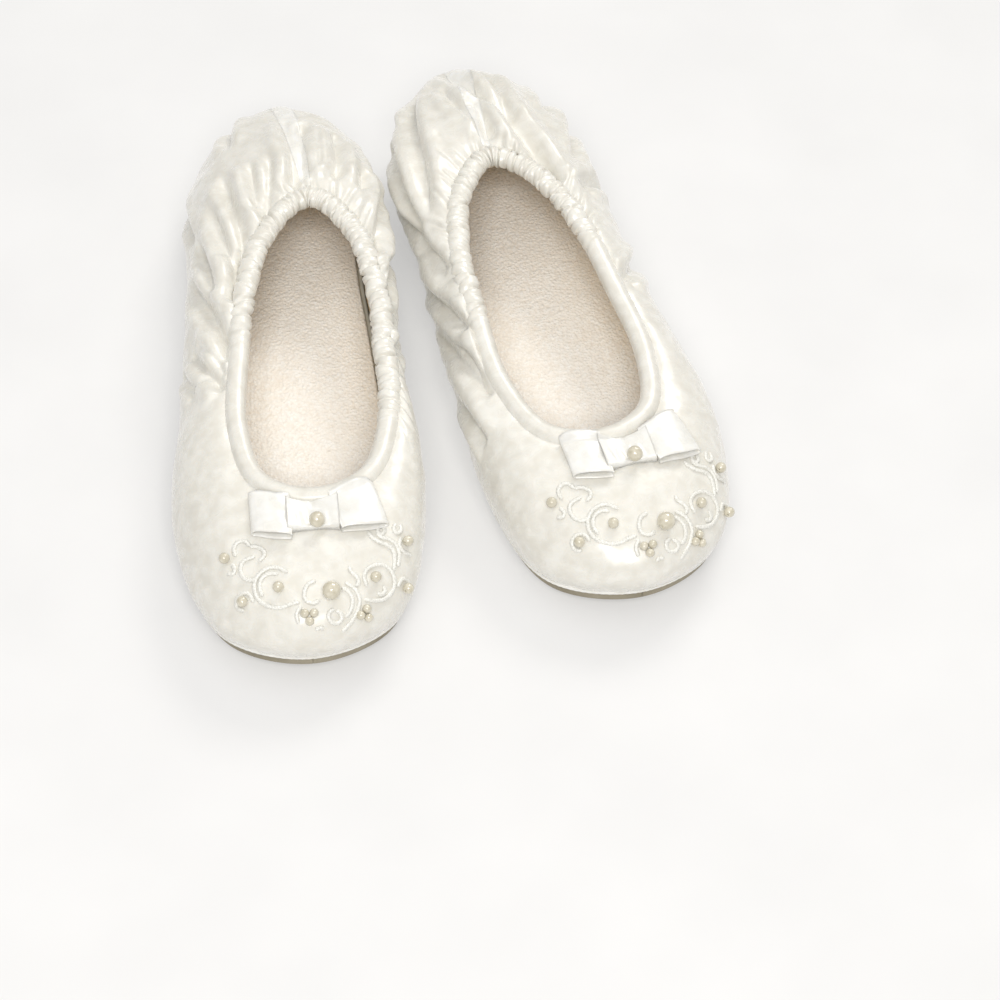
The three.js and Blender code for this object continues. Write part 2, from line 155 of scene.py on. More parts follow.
def rings(foot):
    """Sole and opening rings of one slipper, as on a right foot."""
    sole = [(x * SOLE_WIDTH, y * SOLE_LENGTH) for x, y in SOLE_OUTLINE]
    half = OPENING_HALF + [(-x, y) for x, y in OPENING_HALF[-2:0:-1]]
    throat, heel = foot["lean"]
    opening = [(x * OPENING_WIDTH + throat + (heel - throat) * (y + 0.5),
                y * OPENING_LENGTH - OPENING_FORWARD) for x, y in half]
    return ring_table(sole), ring_table(opening)


def skin(foot, u, s):
    """Outside of the satin before folds: u round the foot, s from sole to topline."""
    sole, opening = foot["rings"]
    low, low_out = at_ring(sole, u)
    high, high_out = at_ring(opening, u)
    top = topline_height(u) + SATIN / 2
    end = high + high_out * (BINDING_WIDTH / 2 - SEAM_TUCK)
    level = np.linalg.norm(end - low, axis=-1)
    toe_to_heel = (1 - np.cos(TAU * u)) / 2
    rounding = FULLNESS + 0.1 * level + END_FULLNESS * np.cos(TAU * u) ** 8
    swell = low + low_out * rounding[..., None]
    to_sole = (low - end) / np.maximum(level, 1e-6)[..., None]
    crest = end + (to_sole * 0.6 + high_out * 0.4) * 0.5 * level[..., None]
    z = (np.full_like(top, HEM_HEIGHT), WALL_BASE + (top - WALL_BASE) * (0.38 + 0.25 * toe_to_heel),
         top + (0.05 + 0.06 * toe_to_heel) * level, top)
    corners = [np.concatenate([p, h[..., None]], -1) for p, h in zip((low, swell, crest, end), z)]
    s = s[..., None]
    share = ((1 - s) ** 3, 3 * s * (1 - s) ** 2, 3 * s ** 2 * (1 - s), s ** 3)
    return toe_lift(sum(w * c for w, c in zip(share, corners)))


def grid_normals(p, closed=True):
    """Outward normals of a grid that runs round (first) and up (second)."""
    if closed:
        du = np.roll(p, -1, 0) - np.roll(p, 1, 0)
    else:
        du = np.gradient(p, axis=0)
    dv = np.gradient(p, axis=1)
    n = np.cross(du, dv)
    return n / np.maximum(np.linalg.norm(n, axis=-1), 1e-9)[..., None]


def grid_of(u_count, s_values):
    u = np.arange(u_count) / u_count
    return np.meshgrid(u, np.asarray(s_values), indexing="ij")


# ---------------------------------------------------------------- folds and gathers of the loose satin
# Each fold: its strength and its line on the upper, as (share round, share up).
FOLDS = {
    "right": [
        (1.0, [(0.575, 0.63), (0.61, 0.90), (0.646, 1.0)]),
        (0.8, [(0.544, 0.75), (0.562, 0.86), (0.581, 0.94)]),
        (0.8, [(0.523, 0.79), (0.546, 0.92), (0.576, 1.0)]),
        (0.9, [(0.502, 0.60), (0.507, 0.84), (0.517, 0.98)]),
        (1.3, [(0.493, 0.62), (0.497, 0.81), (0.502, 0.96)]),
        (0.8, [(0.484, 0.66), (0.482, 0.79), (0.482, 0.90)]),
        (1.0, [(0.467, 0.60), (0.463, 0.77), (0.459, 0.90)]),
        (0.6, [(0.427, 0.69), (0.42, 0.74), (0.415, 0.80)]),
        (1.3, [(0.669, 0.42), (0.702, 0.71), (0.734, 0.94), (0.757, 0.985)]),
        (0.8, [(0.723, 0.60), (0.744, 0.81), (0.772, 0.985)]),
        (1.0, [(0.723, 0.48), (0.754, 0.73), (0.787, 0.985)]),
        (1.1, [(0.600, 0.62), (0.64, 0.83), (0.667, 0.96), (0.684, 1.0)]),
        (0.9, [(0.633, 0.93), (0.646, 1.0), (0.659, 1.0)]),
        (0.9, [(0.640, 0.52), (0.669, 0.69), (0.688, 0.78)]),
        (0.6, [(0.733, 0.40), (0.764, 0.63)]),
        (1.1, [(0.395, 0.45), (0.375, 0.70), (0.35, 0.95)]),
        (1.2, [(0.35, 0.35), (0.325, 0.60), (0.30, 0.90)]),
        (0.9, [(0.30, 0.28), (0.275, 0.52), (0.245, 0.86)]),
        (0.8, [(0.44, 0.18), (0.42, 0.40), (0.40, 0.58)]),
        (0.8, [(0.52, 0.14), (0.535, 0.36), (0.55, 0.56)]),
        (0.7, [(0.59, 0.12), (0.615, 0.30), (0.64, 0.46)]),
    ],
    "left": [
        (1.3, [(0.492, 0.37), (0.499, 0.64), (0.516, 0.77), (0.535, 0.835), (0.566, 0.92), (0.605, 1.0)]),
        (0.9, [(0.513, 0.47), (0.523, 0.705), (0.535, 0.81)]),
        (0.6, [(0.487, 0.58), (0.488, 0.72), (0.493, 0.86)]),
        (1.2, [(0.497, 0.73), (0.506, 0.84), (0.506, 0.96)]),
        (1.2, [(0.476, 0.35), (0.448, 0.52), (0.422, 0.69), (0.396, 0.755), (0.355, 0.76)]),
        (1.2, [(0.42, 0.28), (0.402, 0.45), (0.367, 0.53), (0.333, 0.59)]),
        (1.0, [(0.395, 0.18), (0.357, 0.36), (0.33, 0.525), (0.301, 0.80)]),
        (1.3, [(0.323, 0.16), (0.297, 0.37), (0.274, 0.59), (0.237, 0.91)]),
        (1.2, [(0.302, 0.14), (0.273, 0.40), (0.23, 0.72), (0.175, 0.97)]),
        (1.0, [(0.292, 0.14), (0.243, 0.53), (0.189, 0.85), (0.163, 0.93)]),
        (0.9, [(0.249, 0.19), (0.2, 0.50), (0.158, 0.60)]),
        (1.0, [(0.66, 0.30), (0.645, 0.55), (0.64, 0.82)]),
        (0.9, [(0.59, 0.24), (0.60, 0.46), (0.62, 0.70)]),
        (1.1, [(0.70, 0.25), (0.72, 0.55), (0.74, 0.92)]),
        (0.8, [(0.555, 0.12), (0.56, 0.34), (0.575, 0.58)]),
        (0.7, [(0.455, 0.10), (0.44, 0.26), (0.43, 0.42)]),
    ],
}
FOLD_DEPTH, FOLD_WIDTH, DEEPEST_FOLD = 3.7, 1.9, 4.0
GATHER_DEPTH, GATHER_WIDTH = 0.6, 0.8


def crease(x):
    """Section across a fold in crease widths: a sharp valley between two soft rolls."""
    x = np.abs(x)
    return -np.exp(-x ** 1.35) + 0.5 * np.exp(-((x - 2.5) / 1.35) ** 2)


def eased(x):
    x = np.clip(x, 0, 1)
    return x * x * (3 - 2 * x)


def rounded_line(places, times=3):
    """A line with its corners cut off a few times over, which keeps its two ends."""
    p = np.asarray(places, float)
    for _ in range(times):
        cut = np.stack([0.75 * p[:-1] + 0.25 * p[1:], 0.25 * p[:-1] + 0.75 * p[1:]], 1)
        p = np.concatenate([p[:1], cut.reshape(-1, p.shape[1]), p[-1:]])
    return p


def from_line(p, line):
    """How far each point lies from a line, and how far along the line it is, 0 to 1."""
    best, along = np.full(p.shape[:-1], 1e9), np.zeros(p.shape[:-1])
    for k, (a, b) in enumerate(zip(line[:-1], line[1:])):
        step = b - a
        t = np.clip((p - a) @ step / max(step @ step, 1e-9), 0, 1)
        d = np.linalg.norm(p - a - t[..., None] * step, axis=-1)
        near = d < best
        best = np.where(near, d, best)
        along = np.where(near, (k + t) / (len(line) - 1), along)
    return best, along


def make_gathers(foot, apart, seed):
    """Pleats of the elasticated topline: place along it, depth, slant and length."""
    line = foot["rings"][1][0]
    length = np.linalg.norm(np.roll(line, -1, 0) - line, axis=1).sum()
    picks = np.random.default_rng(seed)
    place, pleats = 0.0, []
    while place < length - 3:
        pleats.append((place, picks.uniform(0.35, 1.4), picks.uniform(-0.4, 0.4), picks.uniform(4, 11)))
        place += picks.uniform(*apart)
    return length, pleats


def ruched(foot, u):
    """1 where the elastic gathers the cloth, 0 along the smooth front."""
    x = (u + 0.5) % 1 - 0.5
    low, high = foot["smooth"]
    return 1 - eased((x - low) / 0.06) * eased((high - x) / 0.06)


def gather_height(foot, kind, u, beyond, width, fade):
    """Height of the pleats at a distance below, or across, the topline."""
    length, pleats = foot[kind]
    place = np.mod(u, 1.0) * length
    total = np.zeros(np.broadcast(place, beyond).shape)
    for at, depth, slant, reach in pleats:
        x = (place + slant * beyond - at + length / 2) % length - length / 2
        total += depth * crease(x / width) * (np.exp(-(np.maximum(beyond, 0) / reach) ** 2) if fade else 1)
    return total * ruched(foot, u)


def cloud(p, size, seed):
    """Soft uneven swell of a given size, -1 to 1, from a few crossed waves."""
    picks = np.random.default_rng(seed)
    total = np.zeros(p.shape[:-1])
    for k in range(9):
        way = picks.normal(size=3)
        way /= np.linalg.norm(way)
        total += np.sin(p @ way * TAU / (size * picks.uniform(0.7, 1.5)) + picks.uniform(0, TAU))
    return total / 4.5


def fold_cloth(foot, p, u, s):
    """The satin with its folds, its gathers under the topline and its puckered hem."""
    n = grid_normals(p)
    height = np.zeros(u.shape)
    for strength, places in FOLDS[foot["name"]]:
        line = rounded_line(places)
        line3 = skin(foot, line[:, 0], np.minimum(line[:, 1], 1.0))
        near, along = from_line(p, line3)
        ends = eased(along / 0.3) * (eased((1 - along) / 0.3) if places[-1][1] < 0.99 else 1)
        width = FOLD_WIDTH * (0.7 + 0.4 * strength)
        height += strength * FOLD_DEPTH * ends * crease(near / width)
    down = np.linalg.norm(p - p[:, -1:], axis=-1)
    height = DEEPEST_FOLD * np.tanh(height / DEEPEST_FOLD)
    height += GATHER_DEPTH * gather_height(foot, "gathers", u, down, GATHER_WIDTH, True)
    back = eased(np.abs((u + 0.5) % 1 - 0.5) / 0.12 - 1.2)
    height += back * 0.45 * cloud(p, 19, foot["seed"] + 1) + 0.2 * cloud(p, 11, foot["seed"] + 2)
    hem = np.exp(-(s / 0.07) ** 2)
    height = height * (1 - hem) + hem * 0.12 * np.sin(u * TAU * 60) * (1 - np.exp(-(s / 0.02) ** 2))
    height *= 1 - 0.85 * eased((s - 0.92) / 0.08) * (1 - ruched(foot, u))
    return p + n * height[..., None]


# ---------------------------------------------------------------- meshes
def grid_faces(rows, columns, round_rows, round_columns):
    i = np.arange(rows if round_rows else rows - 1)[:, None]
    j = np.arange(columns if round_columns else columns - 1)[None]
    a, b = (i + 1) % rows, (j + 1) % columns
    corners = i * columns + j, a * columns + j, a * columns + b, i * columns + b
    return np.stack(np.broadcast_arrays(*corners), -1).reshape(-1, 4)


def to_row(foot, p):
    """From millimetres on one slipper, toe toward -Y, to the row's frame in metres."""
    angle = math.radians(foot["turn"])
    c, s = math.cos(angle), math.sin(angle)
    x, y, z = p[..., 0], p[..., 1], p[..., 2]
    ox, oy = foot["origin"]
    return np.stack([x * c - y * s + ox, x * s + y * c + oy, z], -1) * MM


def hand(foot, p):
    """The left slipper is the right one's mirror image."""
    return p * np.array([foot["side"], 1, 1])


def piece(name, foot, points, faces, finish, slot, stands_for=(), places=None):
    """A smooth closed mesh riding on its slipper, from points in millimetres."""
    mesh = bpy.data.meshes.new(name)
    flat = to_row(foot, points).reshape(-1, 3)
    mesh.from_pydata(flat.tolist(), [], [list(map(int, f)) for f in faces])
    mesh.validate()
    mesh.polygons.foreach_set("use_smooth", [True] * len(mesh.polygons))
    mesh.calc_loop_triangles()
    tri = np.zeros(len(mesh.loop_triangles) * 3, int)
    mesh.loop_triangles.foreach_get("vertices", tri)
    a, b, c = (flat[tri[k::3]] - flat.mean(0) for k in range(3))
    if (a * np.cross(b, c)).sum() < 0:
        mesh.flip_normals()
    if places is not None:
        layer = mesh.uv_layers.new(name="cloth")
        index = np.zeros(len(mesh.loops), int)
        mesh.loops.foreach_get("vertex_index", index)
        layer.data.foreach_set("uv", places[index].astype(np.float32).ravel())
    made = bpy.data.objects.new(name, mesh)
    bpy.context.collection.objects.link(made)
    mesh.materials.append(FINISHES[finish])
    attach(made, foot["name"] + "_slipper")
    if stands_for:
        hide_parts(*[f"{foot['name']}_{n}" for n in stands_for])
    return made


def shell(outer, inner):
    """Closed wall between two grids that run round the foot: points and faces."""
    wall = np.concatenate([outer, inner[:, ::-1]], 1)
    return wall.reshape(-1, 3), grid_faces(wall.shape[0], wall.shape[1], True, True)


def patch(top, under):
    """Closed thin piece between two open grids with the same edges."""
    rows, columns = top.shape[:2]
    wall = np.concatenate([top, under[:, ::-1]], 1)
    faces = grid_faces(rows, 2 * columns, False, True).tolist()
    faces.append(list(range(2 * columns))[::-1])
    faces.append([(rows - 1) * 2 * columns + k for k in range(2 * columns)])
    return wall.reshape(-1, 3), faces


def tube(line, up, radius, ply=0.0, pitch=2.4, sides=10, flat=1.0):
    """Closed cord along a line; ply gives it the ridges of a twisted thread."""
    along = np.gradient(line, axis=0)
    along /= np.linalg.norm(along, axis=1)[:, None]
    side = np.cross(up, along)
    side /= np.linalg.norm(side, axis=1)[:, None]
    over = np.cross(along, side)
    length = np.r_[0, np.cumsum(np.linalg.norm(np.diff(line, axis=0), axis=1))]
    angle = np.arange(sides) / sides * TAU
    rise = 1 + ply * np.cos(2 * (angle[None] - TAU * length[:, None] / pitch))
    end = np.sqrt(np.clip(np.minimum(length, length[-1] - length) / radius, 0.02, 1))
    r = radius * rise * end[:, None]
    ring = (line[:, None] + side[:, None] * (r * np.cos(angle))[..., None]
            + over[:, None] * (flat * r * np.sin(angle))[..., None])
    faces = grid_faces(len(line), sides, False, True).tolist()
    faces.append(list(range(sides))[::-1])
    faces.append([(len(line) - 1) * sides + k for k in range(sides)])
    return ring.reshape(-1, 3), faces


def joined(parts):
    """Several closed shapes as one mesh."""
    points, faces, start = [], [], 0
    for p, f in parts:
        points.append(p)
        faces += [[k + start for k in face] for face in f]
        start += len(p)
    return np.concatenate(points), faces


def turned_bead(radius, hole, rings=18, sides=28):
    """Round bead with a dimpled thread hole through it along X."""
    start = math.asin(hole / radius)
    a = np.linspace(start, math.pi - start, rings)
    x, r = -radius * np.cos(a), radius * np.sin(a)
    x = np.r_[x[0] + 0.5 * hole, x, x[-1] - 0.5 * hole]
    r = np.r_[hole * 0.55, r, hole * 0.55]
    angle = np.arange(sides) / sides * TAU
    ring = np.stack([np.broadcast_to(x[:, None], (len(x), sides)),
                     r[:, None] * np.cos(angle), r[:, None] * np.sin(angle)], -1)
    faces = grid_faces(len(x), sides, False, True).tolist()
    faces.append(list(range(sides))[::-1])
    faces.append([(len(x) - 1) * sides + k for k in range(sides)])
    return ring.reshape(-1, 3), faces


def frame_on(normal, toward=(1.0, 0.0, 0.0)):
    """Axes of something that lies on a surface, its X nearest to a given way."""
    up = np.asarray(normal) / np.linalg.norm(normal)
    across = np.asarray(toward) - up * np.dot(toward, up)
    across /= np.linalg.norm(across)
    return np.stack([across, np.cross(up, across), up])


# ---------------------------------------------------------------- finishes
def linear(code):
    """sRGB hex to the linear colour the shaders take."""
    parts = [int(code[k:k + 2], 16) / 255 for k in (1, 3, 5)]
    return tuple(c / 12.92 if c <= 0.04045 else ((c + 0.055) / 1.055) ** 2.4 for c in parts) + (1.0,)


def add(tree, kind, links=(), **settings):
    """Adds a node: links sets its sockets, from a value or from another node's socket."""
    made = tree.nodes.new(kind)
    for name, value in settings.items():
        setattr(made, name, value)
    for socket, value in dict(links).items():
        if isinstance(value, bpy.types.NodeSocket):
            tree.links.new(value, made.inputs[socket])
        else:
            made.inputs[socket].default_value = value
    return made


def new_finish(name):
    made = bpy.data.materials.new(name)
    made.use_nodes = True
    made.node_tree.nodes.clear()
    return made, made.node_tree


# Bands of Blender's wave texture in one unit of length at a scale of 1.
WAVES_PER_SCALE = 3.18


def noise(tree, place, across, **inputs):
    """Noise texture whose features are the given size across, in millimetres."""
    return add(tree, "ShaderNodeTexNoise", {"Vector": place, "Scale": 1 / (across * MM), **inputs})


def ramp(tree, factor, low, high):
    """Colour that goes from one (share, colour) stop to the other."""
    tone = add(tree, "ShaderNodeValToRGB", {"Fac": factor.outputs[0]})
    for stop, (at, colour) in zip(tone.color_ramp.elements, (low, high)):
        stop.position, stop.color = at, linear(colour)
    return tone.outputs["Color"]


def bump(tree, height, depth, strength, **inputs):
    """Normal of a relief that is the given depth, in millimetres."""
    relief = {"Height": height, "Distance": depth * MM, "Strength": strength, **inputs}
    return add(tree, "ShaderNodeBump", relief).outputs["Normal"]


def satin_finish(name, pale, warm, roughness):
    """Polyester satin: long floats of bright yarn on the face give it a broad soft sheen
    that turns patchy where the wadding under it swells. Yarns lie 0.12 mm apart, too fine
    to see, so a 0.9 mm slub stands for them; the sheen's patches are 4 mm across. The
    patches set the roughness and also the colour: the pale tone on the glossier patches is painted sheen."""
    made, tree = new_finish(name)
    place = add(tree, "ShaderNodeTexCoord").outputs["Object"]
    patches = noise(tree, place, 4, Detail=1.0)
    slub = noise(tree, place, 0.9, Detail=2.0)
    # painted sheen: the colour turns pale on the same patches that are glossier, and darker on the duller
    # ones
    tone = ramp(tree, patches, (0.3, warm), (0.68, pale))
    gloss = add(tree, "ShaderNodeMapRange", {
        "Value": patches.outputs["Fac"], "From Min": 0.3, "From Max": 0.7,
        "To Min": roughness + 0.07, "To Max": roughness - 0.05})
    relief = bump(tree, slub.outputs["Fac"], 0.035, 0.35)
    soft = bump(tree, patches.outputs["Fac"], 0.22, 0.6, Normal=relief)
    shader = add(tree, "ShaderNodeBsdfPrincipled", {
        "Base Color": tone, "Roughness": gloss.outputs["Result"], "Normal": soft,
        "IOR": 1.54, "Specular IOR Level": 0.6, "Sheen Weight": 0.25, "Sheen Roughness": 0.4,
        "Subsurface Weight": 0.12, "Subsurface Radius": (0.0012, 0.001, 0.0008),
        "Subsurface Scale": 1.0})
    add(tree, "ShaderNodeOutputMaterial", {"Surface": shader.outputs["BSDF"]})
    return made


def terry_finish():
    """Fine sheared terry: short cotton loops, about 1.1 mm apart, matt and warm beige, with
    painted shade in the gaps between the loops and a faint uneven wear 9 mm across."""
    made, tree = new_finish("sheared_cotton_terry")
    place = add(tree, "ShaderNodeTexCoord").outputs["Object"]
    loops = add(tree, "ShaderNodeTexVoronoi",
                {"Vector": place, "Scale": 1 / (1.1 * MM), "Randomness": 1.0})
    tuft = noise(tree, place, 2.2, Detail=4.0, Roughness=0.7)
    worn = noise(tree, place, 9, Detail=2.0)
    tone = ramp(tree, tuft, (0.3, "#F5EFE6"), (0.66, "#FFFEFB"))
    # painted shade: the colour darkens toward the edges of the loop cells, in the gaps between the raised
    # loops
    loop_gap_shade = add(tree, "ShaderNodeMapRange", {
        "Value": loops.outputs["Distance"], "From Min": 0.25, "From Max": 0.75,
        "To Min": 0.0, "To Max": 0.34})
    shaded_between_loops = add(tree, "ShaderNodeMix",
                  {0: loop_gap_shade.outputs["Result"], 6: tone, 7: linear("#EBE3D8")}, data_type="RGBA")
    shade = add(tree, "ShaderNodeMapRange", {
        "Value": worn.outputs["Fac"], "From Min": 0.4, "From Max": 0.7,
        "To Min": 0.0, "To Max": 0.3})
    aged = add(tree, "ShaderNodeMix",
               {0: shade.outputs["Result"], 6: shaded_between_loops.outputs[2], 7: linear("#FAF6F1")},
               data_type="RGBA", blend_type="MULTIPLY")
    pile = add(tree, "ShaderNodeBump",
               {"Height": loops.outputs["Distance"], "Distance": 0.5 * MM, "Strength": 0.8}, invert=True)
    fuzz = bump(tree, tuft.outputs["Fac"], 0.6, 0.6, Normal=pile.outputs["Normal"])
    shader = add(tree, "ShaderNodeBsdfPrincipled", {
        "Base Color": aged.outputs[2], "Roughness": 0.95, "Normal": fuzz, "IOR": 1.5,
        "Specular IOR Level": 0.15, "Sheen Weight": 0.5, "Sheen Roughness": 0.6})
    add(tree, "ShaderNodeOutputMaterial", {"Surface": shader.outputs["BSDF"]})
    return made


def woven_finish(name, pale, deep, thread, roughness, sheen):
    """Plain-woven cloth or tape: threads crossing at right angles along the piece's own
    length and width, matt, with painted shade in the gaps between threads and an uneven tone 6 mm across."""
    made, tree = new_finish(name)
    cloth = add(tree, "ShaderNodeUVMap", uv_map="cloth").outputs["UV"]
    waves = {"Vector": cloth, "Scale": 1 / (thread * MM) / WAVES_PER_SCALE}
    warp = add(tree, "ShaderNodeTexWave", waves, bands_direction="X")
    weft = add(tree, "ShaderNodeTexWave", waves, bands_direction="Y")
    mix = add(tree, "ShaderNodeMath",
              {0: warp.outputs["Fac"], 1: weft.outputs["Fac"]}, operation="MULTIPLY")
    place = add(tree, "ShaderNodeTexCoord").outputs["Object"]
    uneven = noise(tree, place, 6, Detail=3.0)
    both = add(tree, "ShaderNodeMath",
               {0: mix.outputs[0], 1: uneven.outputs["Fac"]}, operation="ADD")
    # painted shade: the colour darkens where the threads dip, in the gaps between them; the 6 mm noise adds
    # a random uneven tone
    tone = ramp(tree, both, (0.3, deep), (1.0, pale))
    relief = bump(tree, mix.outputs[0], 0.12, 0.5)
    shader = add(tree, "ShaderNodeBsdfPrincipled", {
        "Base Color": tone, "Roughness": roughness, "Normal": relief,
        "IOR": 1.5, "Specular IOR Level": 0.3, "Sheen Weight": sheen, "Sheen Roughness": 0.5})
    add(tree, "ShaderNodeOutputMaterial", {"Surface": shader.outputs["BSDF"]})
    return made


def pearl_finish():
    """Imitation pearl: a glass bead dipped in nacre paint. It looks deep, creamy and glossy,
    with a faint cloudiness 1.5 mm across."""
    made, tree = new_finish("dipped_nacre_bead")
    place = add(tree, "ShaderNodeTexCoord").outputs["Object"]
    clouds = noise(tree, place, 1.5, Detail=2.0)
    tone = ramp(tree, clouds, (0.3, "#C6BFAA"), (0.7, "#DAD4C3"))
    relief = bump(tree, clouds.outputs["Fac"], 0.03, 0.4)
    shader = add(tree, "ShaderNodeBsdfPrincipled", {
        "Base Color": tone, "Roughness": 0.24, "Normal": relief, "IOR": 1.55,
        "Coat Weight": 0.9, "Coat Roughness": 0.06, "Coat IOR": 1.5})
    add(tree, "ShaderNodeOutputMaterial", {"Surface": shader.outputs["BSDF"]})
    return made


def rayon_finish():
    """Rayon embroidery cord: bright two-ply thread. The plies are in the mesh; filaments
    finer than those give a silvery sheen, broken up every 0.5 mm."""
    made, tree = new_finish("rayon_embroidery_cord")
    place = add(tree, "ShaderNodeTexCoord").outputs["Object"]
    strands = noise(tree, place, 0.5, Detail=2.0)
    tone = ramp(tree, strands, (0.3, "#D5D4CC"), (0.7, "#F6F5F0"))
    relief = bump(tree, strands.outputs["Fac"], 0.12, 0.6)
    shader = add(tree, "ShaderNodeBsdfPrincipled", {
        "Base Color": tone, "Roughness": 0.38, "Normal": relief, "IOR": 1.53,
        "Specular IOR Level": 0.6, "Sheen Weight": 0.2})
    add(tree, "ShaderNodeOutputMaterial", {"Surface": shader.outputs["BSDF"]})
    return made


def moulded_finish(name, pale, deep, grain, depth, roughness):
    """Moulded foam or rubber: matt and even, with a fine pebbled grain from the mould."""
    made, tree = new_finish(name)
    place = add(tree, "ShaderNodeTexCoord").outputs["Object"]
    pebble = add(tree, "ShaderNodeTexVoronoi", {"Vector": place, "Scale": 1 / (grain * MM)})
    wear = noise(tree, place, 14, Detail=4.0)
    tone = ramp(tree, wear, (0.3, deep), (0.7, pale))
    relief = bump(tree, pebble.outputs["Distance"], depth, 0.6)
    shader = add(tree, "ShaderNodeBsdfPrincipled", {
        "Base Color": tone, "Roughness": roughness, "Normal": relief,
        "IOR": 1.5, "Specular IOR Level": 0.3})
    add(tree, "ShaderNodeOutputMaterial", {"Surface": shader.outputs["BSDF"]})
    return made


FINISHES = {
    "satin": satin_finish("polyester_satin", "#E8E6DF", "#DDDAD1", 0.27),
    "ribbon": satin_finish("satin_ribbon", "#F1F0EC", "#E7E5DE", 0.24),
    "wadding": satin_finish("bonded_wadding", "#F2EFE8", "#E6E2D8", 0.8),
    "terry": terry_finish(),
    # The lining's amber is partly its own cream colour and partly painted warm shade: it is saturated to
    # stand for the warm bounce light inside the shaded opening.
    "lining": woven_finish("twill_lining_warm_shade", "#F8DFA6", "#DDB870", 0.5, 0.8, 0.3),
    "elastic": woven_finish("woven_elastic", "#F0EEE8", "#D2CEC4", 0.8, 0.7, 0.2),
    "pearl": pearl_finish(),
    "thread": rayon_finish(),
    "foam": moulded_finish("closed_cell_foam", "#DFDACB", "#CFC9B8", 0.8, 0.15, 0.85),
    # The rubber is a beige sole colour darkened on purpose, so that the sole's edge reads as the shade
    # under the toe: partly painted shade.
    "rubber": moulded_finish("moulded_rubber_shade_darkened", "#A79F8D", "#8F8775", 1.6, 0.3, 0.75),
}


# ---------------------------------------------------------------- the two slippers
# Embroidery, bead clusters and pearls in plan, in millimetres: across from the middle
# line of the sole, and back from the tip of the sole. They face the same way on both feet.
EMBROIDERY = {
    "scroll_outer": [
        [(-5.0, 15.9), (-9.2, 19.0), (-13.9, 17.9), (-16.3, 14.4), (-15.7, 10.1), (-12.5, 7.0), (-8.3, 5.4),
         (-4.1, 6.2), (-1.8, 6.2)],
        [(-13.5, 10.1), (-14.6, 13.1), (-13.6, 16.0), (-10.7, 16.9), (-8.1, 15.9)],
    ],
    "sprig_outer": [
        [(-15.2, 23.4), (-19.2, 23.1), (-20.3, 20.7), (-19.7, 17.5), (-16.8, 15.6), (-14.4, 16.4)],
        [(-21.4, 25.0), (-22.1, 28.1), (-20.6, 29.8), (-18.1, 29.8), (-16.7, 27.2)],
        [(-16.9, 27.3), (-14.0, 26.6), (-12.0, 24.6), (-12.4, 22.4), (-14.4, 21.6)],
        [(-16.6, 9.1), (-17.6, 11.9), (-19.8, 13.0), (-22.2, 11.9), (-22.0, 9.4), (-19.6, 7.9)],
        [(-22.9, 23.3), (-21.7, 20.9), (-22.6, 19.4), (-24.6, 20.8)],
    ],
    "flower_arc": [
        [(4.5, 6.5), (2.3, 5.3), (-0.2, 6.4), (-0.5, 8.8), (0.9, 11.6), (3.7, 12.4)],
        [(12.7, 11.9), (15.8, 10.5), (17.3, 7.8), (16.6, 4.8), (14.1, 1.4), (10.7, -1.2)],
        [(11.5, 10.3), (14.2, 9.1), (15.0, 6.7), (14.0, 3.8), (12.0, 2.2)],
        [(9.0, 3.9), (7.2, 3.2), (6.6, 1.3), (8.3, 0.1), (10.7, 1.0), (11.2, 2.8), (9.3, 3.7)],
        [(-1.4, 5.0), (-3.4, 2.9), (-2.8, 0.2)],
        [(2.4, -1.6), (3.7, -0.8), (5.2, -1.2)],
    ],
    "scroll_inner": [
        [(18.5, 7.5), (21.9, 8.0), (25.6, 9.9), (28.3, 13.2), (28.9, 16.4), (27.0, 19.0), (23.4, 19.0),
         (19.9, 16.7), (18.8, 14.0), (19.7, 11.6)],
        [(24.9, 13.2), (25.6, 11.7), (24.0, 10.1), (22.7, 10.6)],
        [(14.5, 17.2), (15.0, 15.2), (16.6, 14.2), (17.4, 12.4), (16.2, 11.0)],
        [(29.5, 14.4), (31.2, 17.6), (33.6, 18.0), (34.2, 15.6)],
    ],
    "sprig_inner": [
        [(21.4, 29.4), (22.4, 27.3), (24.7, 26.0), (27.4, 25.8), (29.3, 24.4), (29.3, 21.4), (28.7, 18.2)],
        [(24.0, 29.5), (25.2, 27.7), (28.0, 27.8), (30.5, 26.4), (31.0, 23.4), (30.1, 19.8)],
        [(25.9, 32.0), (24.2, 30.6), (25.0, 28.5), (26.8, 29.7), (26.6, 31.7)],
        [(30.6, 33.6), (29.5, 31.3), (30.5, 29.8), (32.4, 31.8), (31.8, 33.6)],
        [(31.8, 29.4), (30.9, 26.5), (32.2, 25.0), (34.8, 25.6)],
    ],
}
CORD_RADIUS = 0.7
PEARLS = [(-24.6, 25.2), (-19.6, 10.3), (-8.2, 11.6), (22.2, 14.6), (32.0, 15.8), (33.2, 28.6)]
PEARL_RADIUS, TOE_PEARL_RADIUS, BOW_PEARL_RADIUS, SEED_RADIUS = 1.8, 3.0, 2.6, 1.45
TOE_PEARL = (8.1, 8.6)
CLUSTERS = [(0.8, 1.9), (18.2, 4.1)]


def make_ground(foot):
    """What lies on the toe rests on this: the folded satin at the front, where it faces up."""
    satin, normals = foot["satin"], foot["normals"]
    front = (satin[..., 1] < -10) & (normals[..., 2] > 0.05)
    points, ways = satin[front], normals[front]
    tree = KDTree(len(points))
    for k, (x, y, z) in enumerate(points):
        tree.insert((x, y, 0), k)
    tree.balance()
    return tree, points, ways


def on_toe(foot, x, y):
    """Height and normal of the satin over a plan place given from the tip of the sole."""
    tree, points, ways = foot["ground"]
    y = y - SOLE_LENGTH / 2
    near = tree.find_n((x, y, 0), 5)
    weight = np.array([1 / (d * d + 1e-4) for _, _, d in near])
    index = [k for _, k, _ in near]
    weight /= weight.sum()
    normal = (ways[index] * weight[:, None]).sum(0)
    return np.array([x, y, (points[index, 2] * weight).sum()]), normal / np.linalg.norm(normal)


